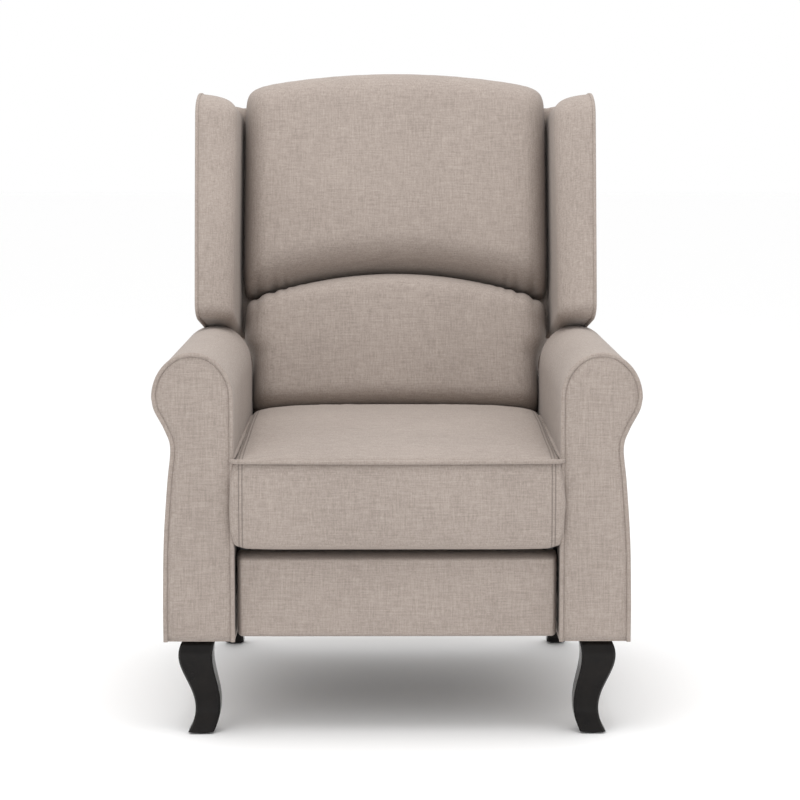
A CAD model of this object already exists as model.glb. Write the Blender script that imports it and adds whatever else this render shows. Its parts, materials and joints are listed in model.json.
"""Looks of a push-back wing recliner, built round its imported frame.

Lengths in the constants are millimetres. The sewn covers, cushions and piping are
surfaces worked out on grids; wood, steel and legs are the frame's own pieces.
A depth is measured rearwards from the arms' front plane. On the leaning back a place
is (across, out, up): out is forwards from the hinge, square to the back, and up runs
along the back.
"""
import json
import math
import bmesh
import bpy
import numpy as np
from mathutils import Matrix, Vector


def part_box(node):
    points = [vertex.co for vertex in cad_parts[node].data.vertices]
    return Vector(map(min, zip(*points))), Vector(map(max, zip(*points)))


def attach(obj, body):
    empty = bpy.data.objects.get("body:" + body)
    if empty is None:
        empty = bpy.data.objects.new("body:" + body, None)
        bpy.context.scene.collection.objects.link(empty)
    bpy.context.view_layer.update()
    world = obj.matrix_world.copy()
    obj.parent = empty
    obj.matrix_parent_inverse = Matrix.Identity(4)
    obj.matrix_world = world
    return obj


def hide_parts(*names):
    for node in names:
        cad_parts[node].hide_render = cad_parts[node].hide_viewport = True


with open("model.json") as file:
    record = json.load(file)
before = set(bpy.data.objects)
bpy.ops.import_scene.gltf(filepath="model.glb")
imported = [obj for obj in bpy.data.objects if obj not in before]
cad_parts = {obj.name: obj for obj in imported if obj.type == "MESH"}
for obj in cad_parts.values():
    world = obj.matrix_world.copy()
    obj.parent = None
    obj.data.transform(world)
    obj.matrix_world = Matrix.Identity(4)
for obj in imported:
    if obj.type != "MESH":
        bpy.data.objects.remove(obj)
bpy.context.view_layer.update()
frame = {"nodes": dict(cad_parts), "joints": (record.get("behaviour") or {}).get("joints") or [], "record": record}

MM = 0.001

# Places read from the frame
front_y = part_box("arm_left_front_panel")[0][1] / MM
hinge = next(j for j in frame["joints"] if j["name"] == "back_recline")["pos_m"]
hinge_y = hinge[1] / MM
hinge_z = hinge[2] / MM
base_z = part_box("arm_left_upholstery")[0][2] / MM

# The photograph's camera
focal_px = 2398.0
photo_px = 800.0
eye_x = -17.0
eye_depth = -3476.0
eye_z = 899.0
camera_pitch = 0.1128
camera_turn = -0.0061

# Arms
seat_half = 240.0
roll_half_width = 59.0
roll_rise = 66.0
roll_z = 508.0
neck_x = 331.0
neck_z = 436.0
side_x = 344.0
roll_depth = 500.0
arm_depth = 640.0
arm_rear_z = 436.0
arm_slope_depth = 604.0
piping_radius = 3.4
piping_inset = 2.4

# Back
back_lean = math.radians(16.0)
cushion_rear = 10.5
seam_middle = 261.0
seam_fall = 49.0
pillow_top = 610.0
pillow_fall = 27.0
pillow_half = 257.5
pillow_thick = 92.0
lumbar_low = 24.0
lumbar_half_low = 242.0
lumbar_half_high = 255.5
lumbar_thick = 88.0
pleat_height = 7.0
narrow_half = 239.0
wide_half = 300.0
cover_middle = 289.0
cover_reach = 283.0
front_reach = 288.0
top_half = 231.5
top_reach = 22.5

# Wings
wing_low = 154.0
wing_rear = -31.0
wing_reach_low = 205.0
wing_reach_high = 181.0
wing_top_front = 536.0
wing_top_rear = 572.0
wing_out_rear = 302.0
wing_out_low = 325.0
wing_out_high = 334.0
wing_in_rear = 230.5
wing_in_front = 260.0
wing_in_flare = 0.03

# Seat
seat_piping_z = 416.0
seat_crown_z = 445.0
seat_nose_front = -14.0
seat_nose_low = 282.0
seat_rear_depth = 540.0
seat_deck_z = 331.0
seat_stitch_x = 229.0
rail_half = 235.4
rail_inner = 210.5
rail_heights = (284.5, 326.0)

# Footrest and the panel low at the rear
footrest_half = 238.5
footrest_rise = 64.0
footrest_middle = 210.5
footrest_rear_depth = 57.6
footrest_thick = 45.1
rear_panel_half = 239.5
rear_panel_rise = 122.5
rear_panel_middle = 271.5

# Linen colours
cloth_pale = (0.396, 0.338, 0.300, 1)
cloth_dark = (0.270, 0.226, 0.199, 1)
cloth_seam = (0.070, 0.055, 0.048, 1)


def to_world(across, depth, up):
    """Millimetres, with depth behind the arms' front plane, into the frame's metres."""
    across, depth, up = np.broadcast_arrays(across, depth, up)
    return np.stack([across, depth + front_y, up], -1) * MM


def back_world(across, out, up):
    """A place on the leaning back into the frame's metres: turned by the lean at the hinge."""
    across, out, up = np.broadcast_arrays(across, out, up)
    y = hinge_y - out * math.cos(back_lean) + up * math.sin(back_lean)
    z = hinge_z + out * math.sin(back_lean) + up * math.cos(back_lean)
    return np.stack([across, y, z], -1) * MM


def on_back(world):
    """The frame's metres into (across, out, up) on the leaning back, in millimetres."""
    y = world[:, 1] / MM - hinge_y
    z = world[:, 2] / MM - hinge_z
    out = z * math.sin(back_lean) - y * math.cos(back_lean)
    up = z * math.cos(back_lean) + y * math.sin(back_lean)
    return world[:, 0] / MM, out, up


def smooth(t):
    """Ease from 0 to 1: 3t^2 - 2t^3, held outside."""
    t = np.clip(t, 0, 1)
    return t * t * (3 - 2 * t)


def rolled(distance, radius, power=2.0):
    """A quarter round: 0 at an edge, 1 from a radius inside it; squarer at a higher power."""
    t = 1 - np.clip(distance / radius, 0, 1)
    return np.maximum(1 - t ** power, 0) ** (1 / power)


def shares(count, low=-1.0, high=1.0):
    """Values from low to high, closer together towards both ends."""
    half = (high - low) / 2
    return low + half * (1 - np.cos(np.linspace(0, math.pi, count)))


def even(curve, count):
    """The same open curve at evenly spaced lengths."""
    step = np.linalg.norm(np.diff(curve, axis=0), axis=1)
    length = np.concatenate([[0], np.cumsum(step)])
    places = np.linspace(0, length[-1], count)
    return np.stack([np.interp(places, length, curve[:, k]) for k in range(curve.shape[1])], 1)


def spline(points, count, closed=False):
    """A Catmull-Rom curve through the points, at evenly spaced lengths."""
    p = np.asarray(points, float)
    if closed:
        p = np.vstack([p, p[:1]])
        ends = np.vstack([p[-2:-1], p, p[1:2]])
    else:
        ends = np.vstack([2 * p[0] - p[1], p, 2 * p[-1] - p[-2]])
    spans = len(p) - 1
    t = np.linspace(0, spans, 40 * spans + 1)
    i = np.minimum(t.astype(int), spans - 1)
    f = (t - i)[:, None]
    a, b, c, d = ends[i], ends[i + 1], ends[i + 2], ends[i + 3]
    cubic = 3 * b - 3 * c + d - a
    curve = 0.5 * (2 * b + (c - a) * f + (2 * a - 5 * b + 4 * c - d) * f ** 2 + cubic * f ** 3)
    return even(curve, count + 1)[:-1] if closed else even(curve, count)


def inward(outline, distance):
    """An open (X, Z) outline moved square to itself, to the right of its direction."""
    tangent = np.gradient(outline, axis=0)
    tangent /= np.linalg.norm(tangent, axis=1, keepdims=True)
    return outline + np.stack([tangent[:, 1], -tangent[:, 0]], 1) * distance


def grid_faces(rows, cols, wrap=False):
    """Quads of a grid, with the last column joined to the first where it wraps."""
    i, j = np.meshgrid(np.arange(rows - 1), np.arange(cols if wrap else cols - 1), indexing="ij")
    after = (j + 1) % cols
    quads = np.stack([i * cols + j, i * cols + after, (i + 1) * cols + after, (i + 1) * cols + j], -1)
    return quads.reshape(-1, 4).tolist()


def skin(name, verts, faces):
    """A closed piece: doubles merged, empty faces dropped, every face turned outwards."""
    mesh = bpy.data.meshes.new(name)
    mesh.from_pydata(np.asarray(verts).reshape(-1, 3).tolist(), [], faces)
    work = bmesh.new()
    work.from_mesh(mesh)
    bmesh.ops.remove_doubles(work, verts=work.verts, dist=1e-5)
    bmesh.ops.dissolve_degenerate(work, dist=1e-5, edges=work.edges)
    bmesh.ops.recalc_face_normals(work, faces=work.faces)
    work.to_mesh(mesh)
    work.free()
    mesh.polygons.foreach_set("use_smooth", np.ones(len(mesh.polygons), bool))
    obj = bpy.data.objects.new(name, mesh)
    bpy.context.scene.collection.objects.link(obj)
    return obj


def ring_skin(name, rings):
    """A closed skin through a stack of closed rings, with a flat face at each end."""
    rings = np.asarray(rings)
    rows, cols = rings.shape[:2]
    faces = grid_faces(rows, cols, wrap=True)
    faces.append(list(range(cols)))
    faces.append(list(range((rows - 1) * cols, rows * cols)))
    return skin(name, rings, faces)


def two_sided(name, front, rear):
    """A closed skin from a front and a rear grid of one size, joined round their rims."""
    rows, cols = front.shape[:2]
    quads = grid_faces(rows, cols)
    count = rows * cols
    rim = np.concatenate([
        np.arange(cols), np.arange(1, rows) * cols + cols - 1,
        (rows - 1) * cols + np.arange(cols - 2, -1, -1), np.arange(rows - 2, 0, -1) * cols])
    after = np.roll(rim, -1)
    faces = quads + [[i + count for i in quad] for quad in quads]
    faces += np.stack([rim, after, after + count, rim + count], 1).tolist()
    return skin(name, np.concatenate([front.reshape(-1, 3), rear.reshape(-1, 3)]), faces)


def piping(name, path, side, body, radius=piping_radius, sides=10):
    """Corded piping: a circle carried along the path, its start turned to the given side."""
    tangent = np.gradient(path, axis=0)
    tangent /= np.linalg.norm(tangent, axis=1, keepdims=True)
    normal = np.asarray(side, float) - (tangent @ np.asarray(side, float))[:, None] * tangent
    normal /= np.linalg.norm(normal, axis=1, keepdims=True)
    across = np.cross(tangent, normal)
    a = np.linspace(0, 2 * math.pi, sides, endpoint=False)
    ring = normal[:, None] * np.cos(a)[None, :, None] + across[:, None] * np.sin(a)[None, :, None]
    cord = ring_skin(name, path[:, None] + ring * radius * MM)
    return dress(cord, body, cord_cloth)


def dress(obj, body, material, stands_for=()):
    """Give a cloth piece its material, its body and the frame pieces that it stands for."""
    obj.data.materials.clear()
    obj.data.materials.append(material)
    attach(obj, body)
    if stands_for:
        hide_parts(*stands_for)
    return obj


def apply_all(obj):
    """Put what an object's modifiers make into its own mesh."""
    bpy.context.view_layer.update()
    shown = obj.evaluated_get(bpy.context.evaluated_depsgraph_get())
    made = bpy.data.meshes.new_from_object(shown)
    made.name = obj.data.name
    obj.modifiers.clear()
    obj.data = made
    made.polygons.foreach_set("use_smooth", np.ones(len(made.polygons), bool))


def remesh(obj, size_mm):
    """Rebuild a closed piece with even cells of that size, its terraces smoothed away."""
    change = obj.modifiers.new("cells", "REMESH")
    change.mode = "VOXEL"
    change.voxel_size = size_mm * MM
    ease(obj, 8)


def ease(obj, times):
    """Smooth a piece's small ripples away."""
    change = obj.modifiers.new("ease", "SMOOTH")
    change.factor = 0.5
    change.iterations = times
    apply_all(obj)


def refine(obj):
    """One level of subdivision, the same in every view."""
    change = obj.modifiers.new("finer", "SUBSURF")
    change.levels = 1
    change.render_levels = 1


def points_of(obj):
    """A piece's points, one row each."""
    points = np.empty(len(obj.data.vertices) * 3)
    obj.data.vertices.foreach_get("co", points)
    return points.reshape(-1, 3)


def normals_of(obj):
    """The directions in which a piece's surface faces, one row for each point."""
    normals = np.empty(len(obj.data.vertices) * 3)
    obj.data.vertices.foreach_get("normal", normals)
    return normals.reshape(-1, 3)


def move_to(obj, points):
    """Put a piece's points where the rows say."""
    obj.data.vertices.foreach_set("co", points.ravel())
    obj.data.update()


def blow_up(obj, holding, cap, pressure=4.0, slack=-0.008):
    """Swell a cushion as cloth under pressure, with no point moved further than the cap.

    `holding` gives how firmly each point stays, from 0 to 1. The slack makes the cloth
    a little larger than the start, so that it wrinkles beside what holds it.
    """
    start = points_of(obj)
    firm = np.round(holding(start), 1)
    pins = obj.vertex_groups.new(name="pins")
    for step in np.unique(firm[firm > 0]):
        pins.add(np.nonzero(firm == step)[0].tolist(), float(step), "REPLACE")
    cloth = obj.modifiers.new("cloth", "CLOTH")
    settings = cloth.settings
    settings.quality = 6
    settings.mass = 0.25
    settings.tension_stiffness = 18
    settings.compression_stiffness = 18
    settings.bending_stiffness = 0.8
    settings.use_pressure = True
    settings.uniform_pressure_force = pressure
    settings.shrink_min = slack
    settings.effector_weights.gravity = 0
    settings.vertex_group_mass = pins.name
    cloth.collision_settings.use_collision = False
    scene = bpy.context.scene
    for number in range(1, 21):
        scene.frame_set(number)
    apply_all(obj)
    scene.frame_set(1)
    obj.vertex_groups.clear()
    moved = points_of(obj) - start
    length = np.maximum(np.linalg.norm(moved, axis=1, keepdims=True), 1e-9)
    move_to(obj, start + moved * cap * MM * np.tanh(length / (cap * MM)) / length)
    ease(obj, 5)


class Wire:
    """A socket with arithmetic: each operator adds one Math node."""

    def __init__(self, finish, socket):
        self.finish = finish
        self.socket = socket

    def math(self, operation, *values):
        inputs = dict(enumerate((self, *values)))
        return self.finish.add("ShaderNodeMath", {"operation": operation}, inputs)

    def __add__(self, other):
        return self.math("ADD", other)

    def __sub__(self, other):
        return self.math("SUBTRACT", other)

    def __rsub__(self, other):
        return self * -1 + other

    def __mul__(self, other):
        return self.math("MULTIPLY", other)

    def __truediv__(self, other):
        return self.math("DIVIDE", other)

    def __abs__(self):
        return self.math("ABSOLUTE")

    __radd__ = __add__
    __rmul__ = __mul__


class Finish:
    """One material. `add` makes a node from its type, settings and socket values."""

    def __init__(self, name):
        self.material = bpy.data.materials.new(name)
        self.material.use_nodes = True
        self.tree = self.material.node_tree
        self.shader = self.tree.nodes["Principled BSDF"]

    def add(self, kind, settings=None, inputs=None, output=0):
        node = self.tree.nodes.new(kind)
        for key, value in (settings or {}).items():
            setattr(node, key, value)
        for key, value in (inputs or {}).items():
            self.put(node.inputs[key], value)
        return Wire(self, node.outputs[output])

    def put(self, socket, value):
        if isinstance(value, Wire):
            self.tree.links.new(value.socket, socket)
        else:
            socket.default_value = value

    def set(self, values):
        for key, value in values.items():
            self.put(self.shader.inputs[key], value)
        return self.material

    def place(self, lean=0.0):
        """Object coordinates, turned back by a lean."""
        raw = self.add("ShaderNodeTexCoord", output="Object")
        return self.add("ShaderNodeMapping", {}, {"Vector": raw, "Rotation": (lean, 0, 0)})

    def scaled(self, place, scale):
        return self.add("ShaderNodeMapping", {}, {"Vector": place, "Scale": scale})

    def noise(self, place, scale, detail=3.0, rough=0.6):
        return self.add("ShaderNodeTexNoise", {}, {
            "Vector": place, "Scale": scale, "Detail": detail, "Roughness": rough})

    def axes(self, place):
        split = self.add("ShaderNodeSeparateXYZ", {}, {0: place})
        return [Wire(self, socket) for socket in split.socket.node.outputs]

    def ramp(self, value, low, high, low_at=0.3, high_at=0.7):
        wire = self.add("ShaderNodeValToRGB", {}, {"Fac": value})
        ends = wire.socket.node.color_ramp.elements
        for end, at, colour in ((ends[0], low_at, low), (ends[1], high_at, high)):
            end.position = at
            end.color = colour
        return wire

    def grey(self, value, low, high):
        return self.ramp(value, (low, low, low, 1), (high, high, high, 1))

    def mix(self, share, first, second):
        inputs = {"Fac": share, "Color1": first, "Color2": second}
        return self.add("ShaderNodeMixRGB", {}, inputs)

    def bump(self, height, strength, distance, normal=None):
        inputs = {"Height": height, "Strength": strength, "Distance": distance}
        if normal is not None:
            inputs["Normal"] = normal
        return self.add("ShaderNodeBump", {}, inputs)


def linen(name, lean=0.0, stitch=None):
    """Slub linen: short streaks along every thread direction over a heathered ground.

    The weave lies along the piece's own lean. A stitch is the X, in metres, of a double
    sewn line on both sides of the middle.
    """
    f = Finish(name)
    place = f.place(lean)
    streaks = [f.noise(f.scaled(place, scale), 1.0, 2.0, 0.55) for scale in (
        (45.0, 620.0, 620.0), (620.0, 45.0, 620.0), (620.0, 620.0, 45.0))]
    slub = streaks[0] * 0.40 + streaks[1] * 0.18 + streaks[2] * 0.42
    heather = f.noise(place, 340.0, 3.0, 0.7)
    cloud = f.noise(place, 7.0, 2.0, 0.5)
    tone = slub * 0.66 + heather * 0.24 + cloud * 0.10
    colour = f.ramp(tone, cloth_dark, cloth_pale, 0.40, 0.60)
    height = slub + heather * 0.4
    if stitch is not None:
        away = abs(abs(abs(f.axes(place)[0]) - stitch) - 0.0025)
        sewn = (1 - away / 0.0014).math("MAXIMUM", 0.0)
        colour = f.mix(sewn * 0.55, colour, cloth_seam)
        height = height - sewn * 2.5
    folds = f.bump(f.noise(place, 11.0, 3.0, 0.5), 0.30, 0.004)
    weave = f.bump(height, 0.45, 0.0006, folds)
    return f.set({"Base Color": colour, "Roughness": f.grey(cloud, 0.86, 0.97), "Normal": weave,
                  "Sheen Weight": 0.10, "Sheen Roughness": 0.6, "Specular IOR Level": 0.15})


def lacquer():
    """Black gloss lacquer, faintly uneven."""
    f = Finish("black_lacquer")
    place = f.place()
    broad = f.noise(place, 24.0)
    colour = f.ramp(broad, (0.004, 0.0035, 0.0035, 1), (0.010, 0.008, 0.007, 1))
    bump = f.bump(f.noise(place, 240.0), 0.07, 0.0004)
    return f.set({"Base Color": colour, "Roughness": f.grey(broad, 0.14, 0.26), "Normal": bump,
                  "Specular IOR Level": 0.12, "Coat Weight": 0.10, "Coat Roughness": 0.06})


def timber():
    """Sawn frame wood: grain along X, with darker latewood."""
    f = Finish("frame_timber")
    grain = f.noise(f.scaled(f.place(), (6.0, 120.0, 120.0)), 1.0, 4.0)
    colour = f.ramp(grain, (0.40, 0.26, 0.14, 1), (0.62, 0.45, 0.27, 1))
    return f.set({"Base Color": colour, "Roughness": f.grey(grain, 0.65, 0.85),
                  "Normal": f.bump(grain, 0.25, 0.0006)})


def enamel():
    """Satin black enamel on pressed steel."""
    f = Finish("black_enamel")
    place = f.place()
    wear = f.noise(place, 45.0, 4.0)
    colour = f.ramp(wear, (0.018, 0.018, 0.020, 1), (0.050, 0.050, 0.053, 1), 0.4, 0.75)
    bump = f.bump(f.noise(place, 900.0), 0.12, 0.0002)
    return f.set({"Base Color": colour, "Roughness": f.grey(wear, 0.38, 0.55), "Metallic": 0.4,
                  "Normal": bump})


def strap_cloth():
    """Black elastic webbing with ribs along the strap."""
    f = Finish("black_webbing")
    place = f.place()
    rib = (f.axes(place)[0] * 1800.0).math("SINE")
    speck = f.noise(place, 600.0)
    colour = f.ramp(speck, (0.012, 0.012, 0.014, 1), (0.05, 0.05, 0.055, 1))
    return f.set({"Base Color": colour, "Roughness": f.grey(speck, 0.8, 0.92),
                  "Normal": f.bump(rib, 0.3, 0.0004)})


def moulded():
    """Black moulded plastic."""
    f = Finish("black_plastic")
    grain = f.noise(f.place(), 1200.0)
    return f.set({"Base Color": f.grey(grain, 0.02, 0.04), "Roughness": f.grey(grain, 0.45, 0.6),
                  "Normal": f.bump(grain, 0.15, 0.0002)})


cloth = linen("beige_linen")
back_cloth = linen("beige_linen_back", lean=back_lean)
seat_cloth = linen("beige_linen_seat", stitch=seat_stitch_x * MM)
cord_cloth = linen("beige_piping")


def arm_outline(count=260):
    """The arm's front outline as (X, Z) from its inner foot over the roll to its outer foot.

    Upright inner face, a half ellipse for the roll, then a curve in under the roll to
    the neck and out again to the foot.
    """
    middle = seat_half + roll_half_width
    outer = middle + roll_half_width
    a = np.linspace(math.pi, 0, 90)
    roll = np.stack([middle + roll_half_width * np.cos(a), roll_z + roll_rise * np.sin(a)], 1)
    under = spline([
        (outer, roll_z), (outer - 4, roll_z - 18), (neck_x + 8, neck_z + 25),
        (neck_x, neck_z - 2), (neck_x + 5, neck_z - 55), (side_x - 2, neck_z - 140),
        (side_x, base_z + 60), (side_x, base_z)], 160)
    upright = np.array([[seat_half, base_z], [seat_half, roll_z - 1]])
    return even(np.vstack([upright, roll, under[1:]]), count)


def arm_section(outline, depth, inset):
    """The arm's section at a depth, drawn in by an inset.

    Behind the roll its upper part is pressed down to the sloping top, and the roll's
    overhang fades.
    """
    x, z = inward(outline, inset).T
    fall = smooth((depth - roll_depth) / (arm_slope_depth - roll_depth))
    top = roll_z + roll_rise
    keep = arm_rear_z - 100
    press = (top - fall * (top - arm_rear_z) - keep) / (top - keep)
    z = np.where(z > keep, keep + (z - keep) * press, z)
    x = np.where(x > neck_x, x + (neck_x - x) * 0.75 * fall * smooth((z - keep) / 60), x)
    return x, z


def make_arm(side, name):
    """One arm: a swept body with a rolled top, a crowned front panel and its piping."""
    outline = arm_outline()
    depths = np.concatenate([
        [4.0, 4.6, 6.5, 10.0, 16.0], np.linspace(28, roll_depth, 24),
        np.linspace(roll_depth + 6, arm_depth - 14, 22), [arm_depth - 7, arm_depth - 2, arm_depth]])
    insets = np.concatenate([[7.0, 3.6, 1.4, 0.4, 0.0], np.zeros(46), [1.5, 5.0, 11.0]])
    rings = []
    for depth, inset in zip(depths, insets):
        x, z = arm_section(outline, depth, inset)
        rise = np.clip((z - base_z) / (neck_z - base_z), 0, 1)
        swell = 3.0 * np.sin(math.pi * rise) * np.sin(math.pi * depth / arm_depth)
        rings.append(to_world(side * (x + swell * (x > neck_x - 8)), depth, z))
    body = ring_skin("arm_%s_cover" % name, rings)
    dress(body, "base", cloth, ["arm_%s_upholstery" % name])

    panel = arm_panel("arm_%s_panel_cover" % name, side, outline)
    dress(panel, "base", cloth, ["arm_%s_front_panel" % name])
    edge = inward(outline, piping_inset)
    piping("arm_%s_piping" % name, to_world(side * edge[:, 0], 1.4, edge[:, 1]), (0, 1, 0), "base")


def arm_panel(name, side, outline):
    """The front panel: rows between the seams, crowned by 1 - exp(-distance from the seam)."""
    seam = inward(outline, piping_inset + 2.0)
    top = int(np.argmax(seam[:, 1]))
    inner = seam[:top + 1]
    outer = seam[top:][::-1]
    outer = outer[np.argsort(outer[:, 1])]
    low = base_z + 3
    high = seam[top, 1]
    t = np.linspace(0, 1, 110)[:, None]
    z = low + (high - low) * (1 - (1 - t) ** 2.2)
    a = np.interp(z, inner[:, 1], inner[:, 0])
    b = np.interp(z, outer[:, 1], outer[:, 0])
    s = shares(29, 0.0, 1.0)[None, :]
    edge = np.minimum(np.minimum(s, 1 - s) * (b - a), np.minimum((high - z) * 0.8, z - low))
    crown = 3.6 * (1 - np.exp(-np.maximum(edge, 0) / 6.0)) + 2.0 * rolled(edge, 60.0)
    x = side * (a + (b - a) * s)
    return two_sided(name, to_world(x, 2.0 - crown, z), to_world(x, 8.0, z))


def seat_section(drop, draw):
    """The seat's fore-and-aft outline, from the band's lower rear edge round the front."""
    low, high, nose, crown = seat_nose_low, seat_piping_z, seat_nose_front, seat_crown_z
    rear, deck = seat_rear_depth, seat_deck_z
    return spline([
        (17.0, low + 5 + draw), (5.0, low + 1 + draw), (-5.0, low + 3 + draw),
        (nose + 1 + draw, low + 15 + draw), (nose - 2.5 + draw, (low + high) / 2),
        (nose + 0.5 + draw, high - 16), (nose + 5 + draw, high - 2),
        (nose + 18, high + 6 - 5 * drop), (60.0, high + 15 - 12 * drop),
        (170.0, crown - 6 - 20 * drop), (300.0, crown + 1 - 22 * drop),
        (430.0, crown + 1 - 20 * drop), (500.0, crown - 4 - 16 * drop),
        (rear - 8, crown - 18 - 10 * drop), (rear, deck + 40), (rear - 8, deck),
        (380.0, deck), (200.0, deck), (40.0, deck), (20.0, deck - 4), (17.6, deck - 16)],
        150, closed=True)


def make_seat():
    """The seat cushion: crowned on top, its front band swelling between two seams."""
    rings = []
    for share in np.sin(np.linspace(-1, 1, 61) * math.pi / 2):
        drop = 1 - (1 - abs(share) ** 4) ** 0.5
        draw = 6.0 * (1 - (1 - abs(share) ** 10) ** 0.5)
        depth, z = seat_section(drop, draw).T
        band = np.sin(math.pi * np.clip((z - seat_nose_low + 10) / 150, 0, 1))
        proud = 10.0 * smooth((2 - depth) / 6) * band
        rings.append(to_world(share * (seat_half - 1.0 + proud), depth, z))
    seat = ring_skin("seat_cover", rings)
    remesh(seat, 5.0)
    blow_up(seat, held_seat, cap=14.0)
    refine(seat)
    dress(seat, "seat", seat_cloth, ["seat_cushion"])
    seat_piping(seat_half - 1.0)


def held_seat(points):
    """The seat's underside, band and sewn edges stay; only its top swells."""
    depth = points[:, 1] / MM - front_y
    z = points[:, 2] / MM
    x = np.abs(points[:, 0]) / MM
    top = smooth((z - seat_piping_z + 4) / 12) * smooth((depth - 12) / 30)
    inside = smooth((seat_half - 4 - x) / 20) * smooth((seat_rear_depth - 30 - depth) / 30)
    return 1 - 0.75 * top * inside


def seat_piping(half):
    """Piping along the seat's front edge that turns back along both sides."""
    z = seat_piping_z
    edge = half + 5.0
    front = seat_nose_front + 2.0
    corner = [
        (-edge + 6, 470, z + 8), (-edge + 5, 200, z + 6), (-edge + 4, 60, z + 3),
        (-edge + 2, 14, z + 1), (-edge, 2, z), (-edge + 5, front + 5, z), (-edge + 16, front, z)]
    middle = [(-150, front - 1, z - 0.5), (0, front - 1.5, z - 1), (150, front - 1, z - 0.5)]
    mirror = [(-x, depth, up) for x, depth, up in corner[::-1]]
    path = spline(corner + middle + mirror, 280)
    piping("seat_piping", to_world(path[:, 0], path[:, 1], path[:, 2]), (0, 0, 1), "seat")


def seam_up(share):
    """How far up the arched tuck between the pillows runs, at a share of the half width."""
    return seam_middle - seam_fall * share ** 2


def soften_corner(share, rise, power, cut):
    """Both shares drawn in by cut * |share|^p * |rise|^p, which rounds a square's corners."""
    keep = 1 - cut * np.abs(share) ** power * np.abs(rise) ** power
    return share * keep, rise * keep


def gathers(across, up):
    """Small pleats square to the tuck near its two ends: sharp valleys that fade away from it."""
    share = across / pillow_half
    away = np.abs(up - seam_up(share))
    near_end = smooth((np.abs(share) - 0.5) / 0.35)
    wave = np.abs(np.sin(across * 0.15 + 0.7 * np.sin(across * 0.07))) ** 0.7 - 0.6
    return wave * near_end * np.exp(-away / 24.0) * smooth(away / 2.0)


def make_pillow():
    """The upper pillow: an arched block, plump and rounded at every edge."""
    s, t = np.meshgrid(shares(150), shares(120), indexing="xy")
    share, rise = soften_corner(s, t, 12, 0.022)
    low = seam_up(share) + 0.5
    high = pillow_top - pillow_fall * share ** 2
    height = high - low
    edge = rolled((1 - np.abs(s)) * pillow_half, 52.0, 2.8)
    edge = edge * rolled((1 + t) / 2 * height, 60.0, 2.3) * rolled((1 - t) / 2 * height, 60.0, 2.8)
    crown = 6.0 * (1 - s * s) * (1 - t * t)
    back_cushion("upper_back_cover", share * pillow_half, low + height * (rise + 1) / 2,
                 (pillow_thick + crown) * edge, ["upper_back_cushion"])


def make_lumbar():
    """The lower pillow: narrow between the arms, wide above them, arched at its top."""
    s, t = np.meshgrid(shares(150), shares(110), indexing="xy")
    share, rise = soften_corner(s, t, 12, 0.02)
    high = seam_up(share) - 0.5
    low = lumbar_low - 8.0 * share ** 2
    height = high - low
    up = low + height * (rise + 1) / 2
    half = lumbar_half_low + (lumbar_half_high - lumbar_half_low) * smooth((up - 112.0) / 34.0)
    edge = rolled((1 - np.abs(s)) * half, 52.0, 2.8)
    edge = edge * rolled((1 + t) / 2 * height, 36.0, 2.4) * rolled((1 - t) / 2 * height, 40.0, 2.4)
    crown = 8.0 * (1 - s * s) * (1 - t * t)
    back_cushion("lumbar_cover", share * half, up, (lumbar_thick + crown) * edge, ["lumbar_cushion"])


def back_cushion(name, across, up, thick, stands_for):
    """A cushion on the back: built, swollen, then its gathers pressed in beside the tuck."""
    front = back_world(across, cushion_rear + thick, up)
    obj = two_sided(name, front, back_world(across, cushion_rear, up))
    remesh(obj, 5.0)
    blow_up(obj, held_back, cap=22.0)
    points = points_of(obj)
    across, out, up = on_back(points)
    pleats = pleat_height * gathers(across, up) * smooth((out - cushion_rear - 20) / 20)
    move_to(obj, points + normals_of(obj) * pleats[:, None] * MM)
    refine(obj)
    dress(obj, "back", back_cloth, stands_for)


def held_back(points):
    """A back cushion's rear and rim stay, and its tuck is held by the thread."""
    across, out, up = on_back(points)
    rear = 1 - smooth((out - cushion_rear - 6) / 20)
    tuck = 1 - smooth((np.abs(up - seam_up(across / pillow_half)) - 4) / 14)
    side = smooth((np.abs(across) - 222) / 20)
    return np.clip(np.maximum(np.maximum(rear, tuck), side), 0.25, 1)


def wing_edge(v):
    """How far the wing's front edge stands out at a share of its height, corners rounded."""
    reach = wing_reach_low + (wing_reach_high - wing_reach_low) * v
    height = wing_top_front - wing_low
    for distance, radius in (((1 - v) * height, 40.0), (v * height, 22.0)):
        reach = reach - radius * (1 - rolled(distance, radius))
    return reach


def wing_top(out):
    """How far up the wing's top edge runs, falling towards its front."""
    share = (out - wing_rear) / (wing_reach_low - wing_rear)
    return wing_top_rear + (wing_top_front - wing_top_rear) * share


def wing_outer(out, up):
    """The wing's outer sheet, flaring forwards and a little upwards."""
    rise = (up - wing_low) / (wing_top_front - wing_low)
    front = wing_out_low + (wing_out_high - wing_out_low) * rise
    share = (out - wing_rear) / (wing_reach_low - wing_rear)
    return wing_out_rear + share * (front - wing_out_rear)


def wing_inner(out):
    """The inner face: against the upright, then out past the cushion and straight forwards."""
    step = smooth((out - 7.5) / 4.0)
    flare = wing_in_flare * np.maximum(out - 12.0, 0)
    return wing_in_rear + (wing_in_front - wing_in_rear) * step + flare


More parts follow.
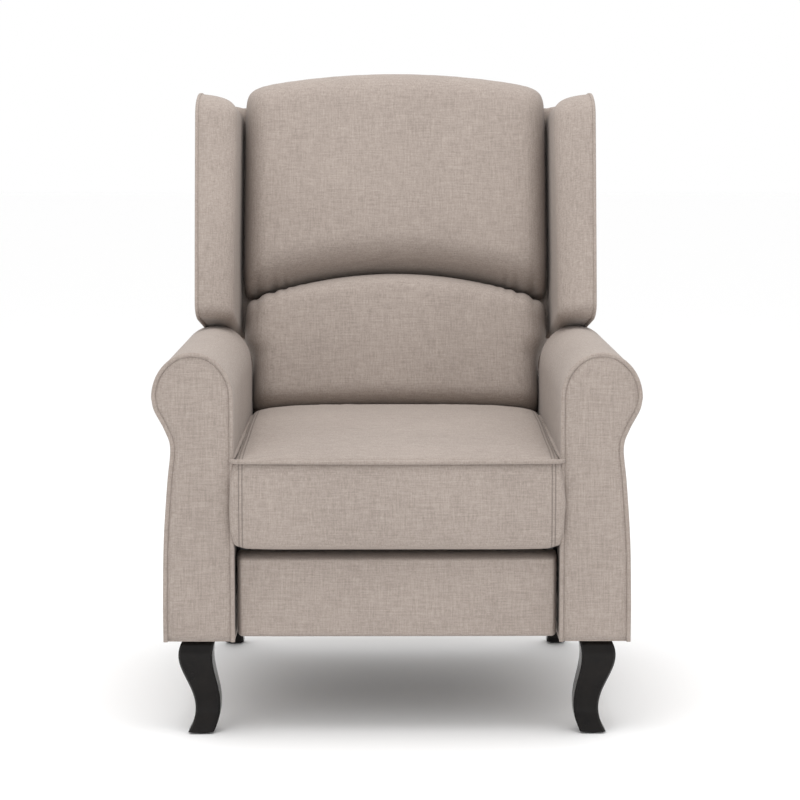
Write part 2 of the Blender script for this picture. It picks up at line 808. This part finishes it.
def make_wing(side, name):
    """A wing: an outer sheet, and an inner face rolling over the edges to meet it."""
    v = shares(96, 0.0, 1.0)[:, None]
    t = shares(84, 0.0, 1.0)[None, :]
    reach = wing_edge(v)
    out = wing_rear + t * (reach - wing_rear)
    top = wing_top(out)
    up = wing_low + v * (top - wing_low)
    outer = wing_outer(out, up)
    fill = rolled(reach - out, 32.0, 2.2) * rolled(top - up, 40.0, 2.4)
    fill = fill * (0.8 + 0.2 * rolled(up - wing_low, 12.0))
    inner = outer - (outer - wing_inner(out)) * fill
    outer = outer + 2.0 * np.sin(math.pi * v) * np.sin(math.pi * t)
    inside = back_world(side * inner, out, up)
    wing = two_sided("wing_%s_cover" % name, inside, back_world(side * outer, out, up))
    dress(wing, "back", back_cloth, ["wing_pad_%s" % name, "wing_frame_%s" % name])
    wing_piping(side, name)


def wing_piping(side, name):
    """Piping round the outer sheet: forwards along the bottom, up the front, back on top."""
    v = np.linspace(0.0, 1, 160)
    front_out = wing_edge(v)
    front_up = wing_low + v * (wing_top(front_out) - wing_low)
    low_out = np.linspace(wing_rear, front_out[0], 50)[:-1]
    top_out = np.linspace(front_out[-1], wing_rear, 50)[1:]
    out = np.concatenate([low_out, front_out, top_out])
    up = np.concatenate([np.full(len(low_out), wing_low), front_up, wing_top(top_out)])
    path = even(np.stack([wing_outer(out, up) - 1.0, out - 0.5, up], 1), 300)
    world = back_world(side * path[:, 0], path[:, 1], path[:, 2])
    piping("wing_%s_piping" % name, world, (1, 0, 0), "back", radius=2.8)


def slab(name, place, half, radius, rows=60, cols=80):
    """A thin pad: `place` maps shares across and up, and a height from 0 to 1, to metres."""
    s, t = np.meshgrid(shares(cols), shares(rows), indexing="xy")
    edge = rolled((1 - np.abs(s)) * half[0], radius) * rolled((1 - np.abs(t)) * half[1], radius)
    return two_sided(name, place(s, t, edge), place(s, t, np.zeros_like(s)))


def make_back_covers():
    """The outer back, the cloth behind the cushions, and the panel low at the rear."""
    def outer(s, t, edge):
        up = cover_middle + cover_reach * t
        half = narrow_half + (wide_half - narrow_half) * smooth((up - 148.0) / 10.0)
        crown = 1.5 * (1 - s * s) * (1 - t * t)
        return back_world(s * half, -28.8 - (4.5 + crown) * edge, up)

    def between(s, t, edge):
        up = cover_middle + front_reach * t
        half = narrow_half + 13.0 * smooth((up - 92.0) / 8.0)
        return back_world(s * half, 9.2 + 1.3 * edge, up)

    def top(s, t, edge):
        return back_world(s * top_half, -12.0 + top_reach * t, 566.0 + 25.0 * edge)

    def rear(s, t, edge):
        crown = 1.5 * (1 - s * s) * (1 - t * t)
        depth = 612.0 + (20.0 + crown) * edge
        return to_world(s * rear_panel_half, depth, rear_panel_middle + rear_panel_rise * t)

    back = slab("outer_back_cover", outer, (wide_half, cover_reach), 5.0, 110, 90)
    dress(back, "back", back_cloth, ["outer_back_panel"])
    front_cloth = slab("back_front_cloth", between, (narrow_half, front_reach), 3.0)
    dress(front_cloth, "back", back_cloth)
    top_cloth = slab("back_top_cloth", top, (top_half, top_reach), 1.8)
    dress(top_cloth, "back", back_cloth)
    panel = slab("base_rear_cover", rear, (rear_panel_half, rear_panel_rise), 8.0)
    dress(panel, "base", cloth, ["base_rear_panel"])


def make_footrest():
    """The footrest: a plain crowned panel with eased edges, its cloth taken round the board."""
    def place(s, t, edge):
        share, rise = soften_corner(s, t, 14, 0.012)
        crown = 3.0 * (1 - s * s) * (1 - t * t)
        depth = footrest_rear_depth - (footrest_thick + crown) * edge
        return to_world(share * footrest_half, depth, footrest_middle + footrest_rise * rise)

    pad = slab("footrest_cover", place, (footrest_half, footrest_rise), 9.0, 90, 150)
    dress(pad, "footrest", cloth, ["footrest_pad"])


def rail_cloth(name, across, depths):
    """Cloth stapled round a seat rail: a box with its front edges eased."""
    def place(s, t, edge):
        x = np.mean(across) + np.ptp(across) / 2 * s
        z = np.mean(rail_heights) + np.ptp(rail_heights) / 2 * t
        return to_world(x, depths[1] - (depths[1] - depths[0]) * edge, z)
    half = (np.ptp(across) / 2, np.ptp(rail_heights) / 2)
    dress(slab(name, place, half, 1.0, 30, 60), "seat", cloth)


def finish_frame():
    """Every frame piece that still shows gets the finish of its slot."""
    finishes = {
        "fabric": cloth, "frame_wood": timber(), "lacquer": lacquer(), "steel": enamel(),
        "glide": moulded(), "webbing": strap_cloth()}
    for item in frame["record"]["subparts"]:
        materials = frame["nodes"][item["node"]].data.materials
        materials.clear()
        materials.append(finishes[item["material_slot"]])


def make_floor():
    """A plain pale floor."""
    mesh = bpy.data.meshes.new("floor")
    mesh.from_pydata([(-30, -30, 0), (30, -30, 0), (30, 30, 0), (-30, 30, 0)], [], [(0, 1, 2, 3)])
    floor = bpy.data.objects.new("floor", mesh)
    bpy.context.scene.collection.objects.link(floor)
    f = Finish("pale_floor")
    mesh.materials.append(f.set({"Base Color": (0.99, 0.99, 0.99, 1), "Roughness": 0.9}))


def make_sky(strength):
    """Soft light from all round, behind which every clear view shows white."""
    world = bpy.data.worlds.new("studio")
    bpy.context.scene.world = world
    world.use_nodes = True
    nodes = world.node_tree.nodes
    links = world.node_tree.links
    light = nodes["Background"]
    light.inputs["Color"].default_value = (1, 1, 1, 1)
    light.inputs["Strength"].default_value = strength
    white = nodes.new("ShaderNodeBackground")
    white.inputs["Color"].default_value = (1, 1, 1, 1)
    white.inputs["Strength"].default_value = 1.0
    path = nodes.new("ShaderNodeLightPath")
    clear = path.outputs["Is Camera Ray"]
    for name in ("Is Glossy Ray", "Is Transmission Ray"):
        most = nodes.new("ShaderNodeMath")
        most.operation = "MAXIMUM"
        links.new(clear, most.inputs[0])
        links.new(path.outputs[name], most.inputs[1])
        clear = most.outputs[0]
    mix = nodes.new("ShaderNodeMixShader")
    links.new(clear, mix.inputs[0])
    links.new(light.outputs[0], mix.inputs[1])
    links.new(white.outputs[0], mix.inputs[2])
    links.new(mix.outputs[0], nodes["World Output"].inputs[0])


def make_lamp(name, place, size, power):
    """A square soft light aimed at the middle of the chair."""
    data = bpy.data.lights.new(name, "AREA")
    data.size = size
    data.energy = power
    lamp = bpy.data.objects.new(name, data)
    lamp.location = place
    aim = Vector((0, 0, 0.55)) - Vector(place)
    lamp.rotation_euler = aim.to_track_quat("-Z", "Y").to_euler()
    bpy.context.scene.collection.objects.link(lamp)


def make_camera():
    """The photograph's camera, with no shift."""
    data = bpy.data.cameras.new("camera")
    data.sensor_width = 36.0
    data.lens = focal_px / photo_px * data.sensor_width
    camera = bpy.data.objects.new("camera", data)
    camera.location = (eye_x * MM, (eye_depth + front_y) * MM, eye_z * MM)
    camera.rotation_euler = (math.pi / 2 - camera_pitch, 0, camera_turn)
    bpy.context.scene.collection.objects.link(camera)
    bpy.context.scene.camera = camera
    bpy.context.scene.view_settings.view_transform = "Standard"


for side, name in ((-1, "left"), (1, "right")):
    make_arm(side, name)
    make_wing(side, name)
make_seat()
make_pillow()
make_lumbar()
make_back_covers()
make_footrest()
rail_cloth("seat_front_rail_cloth", (-rail_half, rail_half), (16.5, 41.0))
rail_cloth("seat_left_rail_cloth", (-rail_half, -rail_inner), (40.0, 300.0))
rail_cloth("seat_right_rail_cloth", (rail_inner, rail_half), (40.0, 300.0))
finish_frame()
make_floor()
make_sky(1.0)
make_lamp("key", (-1.8, -2.8, 2.2), 1.8, 12.0)
make_lamp("fill", (2.4, -2.6, 1.5), 2.2, 6.0)
make_lamp("top", (0.0, -0.6, 3.0), 2.4, 38.0)
make_camera()
